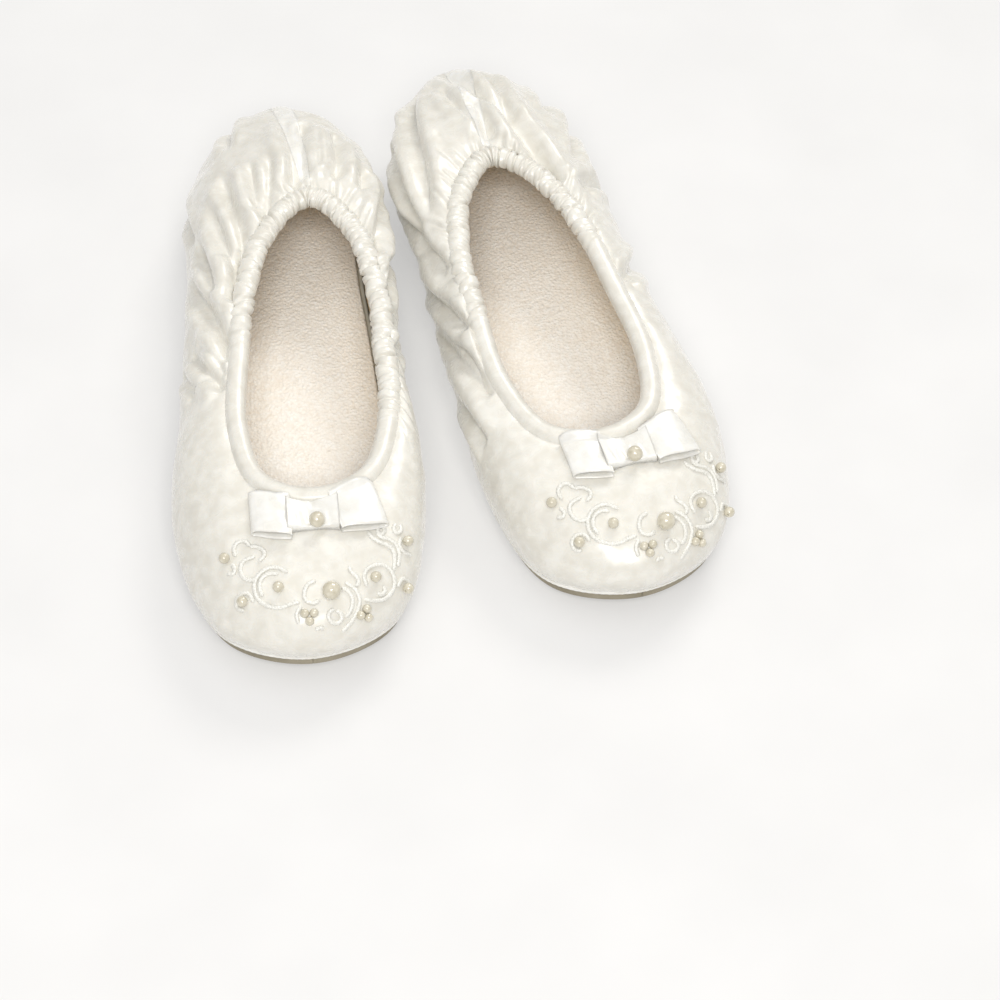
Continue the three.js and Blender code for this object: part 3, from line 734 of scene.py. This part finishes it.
def over_binding(foot, p, room):
    """Lifts points that would lie inside the topline binding up onto it."""
    ring = foot["ring"]
    flat = ring[None, :, :2] - p[:, None, :2]
    d = np.linalg.norm(flat, axis=-1)
    k = d.argmin(1)
    across = np.clip(d[np.arange(len(p)), k] / (BINDING_WIDTH / 2 + room), 0, 1)
    top = ring[k, 2] + (BINDING_HEIGHT / 2 + room) * np.sqrt(1 - across ** 2)
    return np.where(across < 1, np.maximum(p[:, 2], top), p[:, 2])


def sole_slab(foot, inset, z0, z1, corner, crown=0.0):
    """Slab in the sole's outline with rounded edges, in rows from its inner to its outer side."""
    t = 0.25 - 0.2497 * np.cos(np.linspace(0, math.pi, 150))
    (inner, inner_out), (outer, outer_out) = (at_ring(foot["rings"][0], v) for v in (t, 1 - t))
    inner, outer = inner - inner_out * inset, outer - outer_out * inset
    corner = min(corner, (z1 - z0) / 2 - 0.05)
    bend = np.linspace(0, math.pi / 2, 6)
    up = [(corner * (1 - math.sin(a)), z1 - corner * (1 - math.cos(a))) for a in bend[::-1]]
    side = [(corner * (1 - math.sin(a)), z0 + corner * (1 - math.cos(a))) for a in bend] + up
    columns = [np.c_[inner - inner_out * d, np.full(len(t), z)] for d, z in side]
    for share in np.linspace(0, 1, 40)[1:-1]:
        across = (inner - inner_out * corner) * (1 - share) + (outer - outer_out * corner) * share
        columns.append(np.c_[across, np.full(len(t), z1 + crown * 4 * share * (1 - share))])
    columns += [np.c_[outer - outer_out * d, np.full(len(t), z)] for d, z in side[::-1]]
    for share in np.linspace(1, 0, 12)[1:-1]:
        across = (inner - inner_out * corner) * (1 - share) + (outer - outer_out * corner) * share
        columns.append(np.c_[across, np.full(len(t), z0)])
    grid = toe_lift(np.stack(columns, 1))
    rows, sides = grid.shape[:2]
    faces = grid_faces(rows, sides, False, True).tolist()
    faces += [list(range(sides))[::-1], [(rows - 1) * sides + k for k in range(sides)]]
    return hand(foot, grid).reshape(-1, 3), faces


def run_lengths(rows, columns, length, width):
    """Places on the cloth, in metres, for a grid of points: along it in rows, across it in columns."""
    i, j = np.meshgrid(np.linspace(0, length, rows), np.linspace(0, width, columns), indexing="ij")
    return np.stack([i, j], -1).reshape(-1, 2) * MM


def build_upper(name, foot):
    """Satin, wadding, lining, elastic, binding and heel tape of one slipper."""
    u, s = grid_of(AROUND, np.linspace(0, 1, UP))
    base = skin(foot, u, s)
    folded = fold_cloth(foot, base, u, s)
    n = grid_normals(folded)
    inner = folded - n * SATIN
    inner[..., 2] = np.maximum(inner[..., 2], HEM_HEIGHT)
    points, faces = shell(hand(foot, folded), hand(foot, inner))
    places = run_lengths(AROUND, 2 * UP, 560, 140)
    satin = piece(f"{name}_satin_upper_cloth", foot, points, faces, "satin", "satin",
                  ["satin_upper"], places)
    foot["satin"], foot["normals"] = hand(foot, folded), hand(foot, n)

    pad_u = np.abs((u[:, 0] + 0.5) % 1 - 0.5) <= PADDED_SHARE
    order = np.argsort((u[pad_u, 0] + 0.5) % 1)
    rows = slice(7, 64)
    outer = (folded - n * (SATIN + GAP + 0.35))[pad_u][order][:, rows]
    under = (folded - n * (SATIN + GAP + PADDING - 0.1))[pad_u][order][:, rows]
    points, faces = patch(hand(foot, outer), hand(foot, under))
    pad = piece(f"{name}_toe_wadding", foot, points, faces, "wadding", "wadding",
                ["toe_padding"])

    lu, ls = grid_of(300, np.linspace(0.09, 0.9, 30))
    lined = skin(foot, lu, ls)
    ln = grid_normals(lined)
    dip = ((fold_cloth(foot, lined, lu, ls) - lined) * ln).sum(-1, keepdims=True)
    lined = lined + ln * np.minimum(dip, 0)
    sag = 0.25 * cloud(lined, 14, foot["seed"] + 5)[..., None]
    outer = lined - ln * (LINING_DEPTH + 0.1 + sag)
    inner = lined - ln * (LINING_DEPTH + LINING - 0.1 + sag)
    points, faces = shell(hand(foot, outer), hand(foot, inner))
    places = run_lengths(300, 60, 520, 110)
    lining = piece(f"{name}_lining_cloth", foot, points, faces, "lining", "lining",
                   ["lining"], places)

    bu, angle = np.meshgrid(np.arange(1800) / 1800, np.arange(32) / 32 * TAU, indexing="ij")
    middle, out = at_ring(foot["rings"][1], bu)
    around = 4.5 * (angle - math.pi / 2)
    gathered = gather_height(foot, "gathers", bu, around, 0.62, False)
    gathered += 0.5 * gather_height(foot, "puckers", bu, around * 0.6, 0.4, False)
    loose = ruched(foot, bu)
    swell = 1 + 0.05 * loose + np.clip(0.24 * gathered, -0.42, 0.08)
    seam = np.exp(-((angle - 0.5) / 0.25) ** 2)
    swell += 0.02 * loose * np.sin(angle * 3 + bu * 260) - 0.05 * (1 - loose) * seam
    across = BINDING_WIDTH / 2 * np.cos(angle) * swell
    rise = BINDING_HEIGHT / 2 * np.sin(angle) * swell
    wander = 0.35 * loose * np.sin(bu * TAU * 23 + foot["seed"]) * np.sin(bu * TAU * 11)
    line = middle + out * wander[..., None]
    height = (topline_height(bu) + rise)[..., None]
    ring = np.concatenate([line + out * across[..., None], height], -1)
    ring = hand(foot, toe_lift(ring))
    faces = grid_faces(1800, 32, True, True)
    places = run_lengths(1800, 32, 420, 21)
    roll = piece(f"{name}_binding_casing", foot, ring.reshape(-1, 3), faces, "satin", "satin",
                 ["topline_binding"], places)
    centre = np.concatenate([middle[:, 0], topline_height(bu[:, 0])[:, None]], -1)
    foot["ring"] = hand(foot, toe_lift(centre))[::2]

    core = tube(np.r_[foot["ring"][::4], foot["ring"][:1]], np.array([0, 0, 1.0]), 0.9, 0.0, 2.4, 8)
    piece(f"{name}_elastic_core", foot, *core, "elastic", "elastic", ["topline_elastic"],
          run_lengths(len(core[0]) // 8, 8, 420, 5))

    tu = np.linspace(0.5 - TAPE_SHARE, 0.5 + TAPE_SHARE, 9)
    tv = np.linspace(0.04, 0.985, 90)
    gu, gv = np.meshgrid(tu, tv, indexing="ij")
    rows, columns = gu * AROUND, gv * (UP - 1)
    i, j = np.floor(rows).astype(int), np.floor(columns).astype(int)
    a, b = (rows - i)[..., None], (columns - j)[..., None]
    strip = ((folded[i, j] * (1 - b) + folded[i, j + 1] * b) * (1 - a)
             + (folded[i + 1, j] * (1 - b) + folded[i + 1, j + 1] * b) * a)
    sn = grid_normals(strip, closed=False)
    crown = 0.3 * (1 - ((gu - 0.5) / TAPE_SHARE) ** 2)
    top, under = strip + sn * (0.06 + crown)[..., None], strip - sn * 0.25
    points, faces = patch(hand(foot, top), hand(foot, under))
    piece(f"{name}_heel_tape", foot, points, faces, "ribbon", "satin", ["heel_seam_tape"],
          run_lengths(9, 180, 5, 130))


def build_sole(name, foot):
    outsole = sole_slab(foot, OUTSOLE_INSET, 0.0, OUTSOLE_THICKNESS, 1.2)
    piece(f"{name}_outsole_rubber", foot, *outsole, "rubber", "outsole", ["outsole"])
    midsole = sole_slab(foot, MIDSOLE_INSET, OUTSOLE_THICKNESS + GAP, MIDSOLE_TOP, 0.8)
    piece(f"{name}_midsole_foam", foot, *midsole, "foam", "foam", ["midsole"])
    inset = LINING_DEPTH + LINING - SATIN / 2
    sock = sole_slab(foot, inset, MIDSOLE_TOP + GAP, MIDSOLE_TOP + GAP + SOCK_THICKNESS, 0.9, 0.5)
    piece(f"{name}_sock_terry", foot, *sock, "terry", "terry", ["sock"])
    u, angle = np.meshgrid(np.arange(600) / 600, np.arange(14) / 14 * TAU, indexing="ij")
    line, out = at_ring(foot["rings"][0], u)
    r = PIPING_RADIUS * (1 + 0.04 * np.sin(u * TAU * 170 + angle))
    ring = np.concatenate([line + out * (r * np.cos(angle))[..., None],
                           (SOLE_TOP - PIPING_RADIUS + r * np.sin(angle))[..., None]], -1)
    ring = hand(foot, toe_lift(ring)).reshape(-1, 3)
    piece(f"{name}_sole_piping_cord", foot, ring, grid_faces(600, 14, True, True), "ribbon", "satin",
          ["sole_piping"])


def build_beads(name, foot):
    """Pearls, seed clusters and embroidery, each laid on the satin it is sewn to."""
    def pearl(label, at, radius, stands_for):
        point, normal = on_toe(foot, *at)
        points, faces = turned_bead(radius, 0.35)
        axes = frame_on(normal, (0.9, 0.4, 0))
        seated = points @ axes + point + normal * radius * 0.88
        piece(label, foot, seated, faces, "pearl", "pearl", [stands_for])

    pearl(f"{name}_toe_pearl_bead", TOE_PEARL, TOE_PEARL_RADIUS, "toe_pearl")
    for k, at in enumerate(PEARLS):
        pearl(f"{name}_small_pearl_bead_{k + 1}", at, PEARL_RADIUS, f"small_pearl_{k + 1}")
    for k, at in enumerate(CLUSTERS):
        beads = []
        point, normal = on_toe(foot, *at)
        axes = frame_on(normal)
        for j in range(3):
            way = TAU * (j / 3 + 0.08 + 0.11 * k)
            points, faces = turned_bead(SEED_RADIUS, 0.3, 12, 18)
            spin = np.array([[math.cos(way + 1.2), math.sin(way + 1.2), 0],
                             [-math.sin(way + 1.2), math.cos(way + 1.2), 0], [0, 0, 1]])
            seat = (1.72 * math.cos(way), 1.72 * math.sin(way), SEED_RADIUS * 0.8)
            beads.append(((points @ spin + seat) @ axes + point, faces))
        piece(f"{name}_seed_beads_{k + 1}", foot, *joined(beads), "pearl", "pearl",
              [f"seed_cluster_{k + 1}"])
    for label, strokes in EMBROIDERY.items():
        cords = []
        for stroke in strokes:
            plan = rounded_line(stroke, 3)
            length = np.r_[0, np.cumsum(np.linalg.norm(np.diff(plan, axis=0), axis=1))]
            steps = np.linspace(0, length[-1], max(12, int(length[-1] / 0.3)))
            plan = np.c_[np.interp(steps, length, plan[:, 0]), np.interp(steps, length, plan[:, 1])]
            found = [on_toe(foot, x, y) for x, y in plan]
            normal = np.array([b for _, b in found])
            line = np.array([a for a, _ in found]) + normal * (CORD_RADIUS * 0.45)
            cords.append(tube(line, normal, CORD_RADIUS, 0.16, 2.0, 12, 0.75))
        piece(f"{name}_{label}_cord", foot, *joined(cords), "thread", "thread", [label])


# The bow, in millimetres: its middle, from the middle line and the tip of the sole, the
# radius of the fold at a wing's end, half the ribbon's thickness, and half the length of
# the pinched middle.
BOW_MIDDLE = (4.0, 36.5)
FOLD_RADIUS = 1.2
HALF_RIBBON = 0.15
HALF_MIDDLE = 8.4


def build_bow(name, foot):
    """Ribbon bow: a level wing, a pinched middle and a wing that rises over the binding."""
    centre, normal = on_toe(foot, *BOW_MIDDLE)
    axes = frame_on(normal)

    def drape(flat, room):
        """Lays a flat grid on the toe, never closer to what is under it than its own height."""
        shape = flat.shape
        points = flat.reshape(-1, 3)
        out = points @ axes + centre
        under = np.array([on_toe(foot, x, y + SOLE_LENGTH / 2)[0][2] for x, y in out[:, :2]])
        under = np.maximum(under, over_binding(foot, np.c_[out[:, :2], under], 0.2))
        laid = under + 0.25 + room * points[:, 2]
        out[:, 2] = laid + 0.2 * np.maximum(out[:, 2] - laid, 0)
        return out.reshape(shape)

    def wing(label, stands_for, way, root, length, tilt, slant, drop, wide, lift):
        """One loop of ribbon, from the pinch out to its fold and back on top: way is the
        side it points to, root and length where it starts and how long it is, tilt, slant
        and drop how it lies, wide its width at the pinch and the fold, lift its puff."""
        q = np.r_[np.linspace(0, 1, 22), 1 + np.linspace(0, 1, 9)[1:-1], 2 + np.linspace(0, 1, 22)]
        b = np.linspace(-1, 1, 19)
        q, b = np.meshgrid(q, b, indexing="ij")
        out = np.where(q <= 1, q, np.where(q >= 2, 3 - q, 1.0))
        turn = np.clip(q - 1, 0, 1) * math.pi
        x = root + out * (length - FOLD_RADIUS) + FOLD_RADIUS * np.sin(turn)
        width = (wide[0] + (wide[1] - wide[0]) * eased(out * 1.1)) / 2
        puff = lift * np.sin(math.pi * np.clip(out, 0, 1) ** 0.8) ** 0.8
        low, high = 0.15, 2.55 + puff + 0.3 * b * b * out
        z = np.where(q <= 1, low, np.where(q >= 2, high, 1.35 - 1.2 * np.cos(turn)))
        z += np.where(q >= 2, -0.5 * np.exp(-(b / 0.35) ** 2) * (1 - out) ** 1.5 * 2, 0)
        y = b * width + 0.25 * np.sin(b * 4 + out * 5)
        flat = np.stack([way * (x * math.cos(tilt) - y * slant),
                         x * math.sin(tilt) + y - drop, z], -1)
        n = grid_normals(flat, closed=False) * HALF_RIBBON
        points, faces = patch(drape(flat + n, 0.85), drape(flat - n, 0.85))
        made = piece(label, foot, points, faces, "ribbon", "satin", [stands_for],
                     run_lengths(q.shape[0], 38, 2 * length, 32))

    wing(f"{name}_bow_wing_level", "bow_loop_a", way=-1, root=7.4, length=13.2, tilt=0.22,
         slant=-0.02, drop=3.0, wide=(16.2, 16.0), lift=1.3)
    wing(f"{name}_bow_wing_raised", "bow_loop_b", way=1, root=7.6, length=15.2, tilt=0.25,
         slant=0.26, drop=2.7, wide=(14.2, 16.6), lift=1.1)

    a, b = np.meshgrid(np.linspace(-1, 1, 41), np.linspace(-1, 1, 33), indexing="ij")
    narrow = 1 - a * a
    edge = np.where(b > 0, 5.8 - 1.5 * narrow, 6.9 - 0.6 * narrow)
    over = np.clip((1 - np.abs(b)) / 0.14, 0, 1)
    z = 0.2 + (3.5 - 1.7 * narrow) * np.sqrt(1 - (1 - over) ** 2)
    z += 0.28 * np.cos(a * 16 + 2.0 * b) * np.exp(-((b + 0.45) / 0.4) ** 2) * narrow
    z -= 0.45 * np.exp(-(a / 0.08) ** 2) * np.clip(b + 0.2, 0, 1)
    flat = np.stack([a * HALF_MIDDLE, np.clip(b / 0.9, -1, 1) * edge, z], -1)
    n = grid_normals(flat, closed=False) * HALF_RIBBON
    points, faces = patch(drape(flat + n, 0.9), drape(flat - n, 0.9))
    band = piece(f"{name}_bow_middle", foot, points, faces, "ribbon", "satin", ["bow_wrap"],
                 run_lengths(41, 66, 17, 36))
    bead, faces = turned_bead(BOW_PEARL_RADIUS, 0.35)
    seat = drape(np.array([[1.2, -5.6, 2.0]]), 0.9)[0] + normal * BOW_PEARL_RADIUS * 0.92
    piece(f"{name}_bow_pearl_bead", foot, bead @ axes + seat, faces, "pearl", "pearl", ["bow_pearl"])


for name, foot in FEET.items():
    foot["name"] = name
    foot["rings"] = rings(foot)
    foot["gathers"] = make_gathers(foot, (2.7, 6.3), foot["seed"])
    foot["puckers"] = make_gathers(foot, (1.5, 3.4), foot["seed"] + 20)
    low, high = (np.array(v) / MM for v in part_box(f"{name}_sole_piping"))
    foot["origin"] = (0.0, 0.0)
    edge = foot["rings"][0][0] + foot["rings"][0][1] * PIPING_RADIUS
    ring = to_row(foot, hand(foot, np.c_[edge, np.zeros(len(edge))])) / MM
    foot["origin"] = tuple((low + high)[:2] / 2 - (ring.min(0) + ring.max(0))[:2] / 2)
    build_upper(name, foot)
    build_sole(name, foot)
    foot["ground"] = make_ground(foot)
    build_beads(name, foot)
    build_bow(name, foot)


# ---------------------------------------------------------------- floor, light and camera
def floor_finish():
    """Opal acrylic light table: white and matt, glowing a little from below, which softens
    the shadows, with a barely uneven tone 60 mm across."""
    made, tree = new_finish("opal_acrylic_board")
    place = add(tree, "ShaderNodeTexCoord").outputs["Object"]
    uneven = noise(tree, place, 60, Detail=3.0)
    tone = ramp(tree, uneven, (0.2, "#B4B3B2"), (0.8, "#BCBBBA"))
    shader = add(tree, "ShaderNodeBsdfPrincipled", {
        "Base Color": tone, "Roughness": 0.85, "IOR": 1.5, "Specular IOR Level": 0.2,
        "Emission Color": linear("#F9FAFB"), "Emission Strength": 0.38})
    add(tree, "ShaderNodeOutputMaterial", {"Surface": shader.outputs["BSDF"]})
    return made


board = bpy.data.meshes.new("board")
board.from_pydata([(-3, -3, 0), (3, -3, 0), (3, 3, 0), (-3, 3, 0)], [], [(0, 1, 2, 3)])
board.materials.append(floor_finish())
floor = bpy.data.objects.new("floor_board", board)
floor.location.z = -0.0004
bpy.context.collection.objects.link(floor)
floor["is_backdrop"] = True


def area_light(name, place, aim, size, power, colour):
    lamp = bpy.data.lights.new(name, "AREA")
    lamp.shape, lamp.size, lamp.size_y, lamp.energy = "RECTANGLE", size[0], size[1], power
    lamp.color = linear(colour)[:3]
    made = bpy.data.objects.new(name, lamp)
    made.location = place
    made.rotation_mode = "QUATERNION"
    made.rotation_quaternion = (Vector(aim) - Vector(place)).to_track_quat("-Z", "Y")
    bpy.context.collection.objects.link(made)


area_light("window_back_right", (0.8, 1.0, 1.4), (0, 0, 0), (0.8, 0.6), 12.5, "#FFFDF8")
area_light("overhead_soft", (-0.2, 0.1, 1.7), (0, 0, 0), (1.8, 1.4), 5.5, "#FFFFFF")
area_light("front_fill", (-0.15, -1.0, 1.2), (0, 0, 0), (0.7, 0.5), 14, "#FFFDFA")

world = bpy.data.worlds.new("studio_air")
bpy.context.scene.world = world
world.use_nodes = True
air = world.node_tree.nodes["Background"]
air.inputs["Color"].default_value = linear("#F8F7F5")
air.inputs["Strength"].default_value = 0.42

lens = bpy.data.cameras.new("camera")
lens.lens, lens.sensor_width = 122.13, 36.0
lens.clip_start, lens.clip_end = 0.05, 20
camera = bpy.data.objects.new("camera", lens)
camera.location = (-0.1176, -0.7855, 0.8809)
camera.rotation_mode = "QUATERNION"
camera.rotation_quaternion = (Vector((0.01775, -0.0588, 0.0)) - camera.location).to_track_quat("-Z", "Y")
bpy.context.collection.objects.link(camera)
bpy.context.scene.camera = camera
bpy.context.scene.view_settings.view_transform = "Standard"

low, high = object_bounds()
